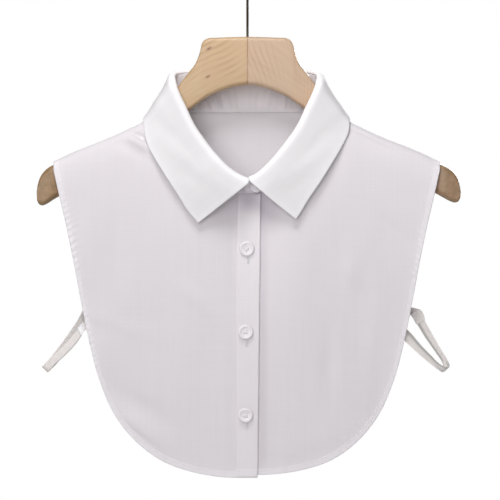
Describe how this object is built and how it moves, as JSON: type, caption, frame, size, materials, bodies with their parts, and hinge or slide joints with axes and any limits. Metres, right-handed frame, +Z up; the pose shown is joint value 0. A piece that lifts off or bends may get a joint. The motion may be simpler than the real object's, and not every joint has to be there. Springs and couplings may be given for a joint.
{
  "type": "detachable shirt collar on a wooden hanger",
  "caption": "White detachable shirt collar with a buttoned bib and elastic side straps, hung on a pale wooden hanger.",
  "frame": {"origin": "inner top of the hook, where a rail carries it", "axes": "+X to the wearer's left (right in the picture), +Y to the wearer's back, +Z up"},
  "size_m": [0.3796, 0.0619, 0.4551],
  "materials": {
    "cloth": "plain-weave white shirting, matt",
    "elastic": "ribbed woven elastic, matt",
    "button": "polished white resin",
    "wood": "pale wood, satin lacquer",
    "hook": "dark bronzed wire"
  },
  "bodies": {
    "root": {"front_right": "cloth", "front_left": "cloth", "back": "cloth", "placket": "cloth", "collar_stand": "cloth", "collar_leaf": "cloth", "button_neck": "button", "button_1": "button", "button_2": "button", "button_3": "button", "strap_left": "elastic", "strap_right": "elastic", "hanger_left": "wood", "hanger_right": "wood", "hook": "hook"}
  },
  "joints": []
}
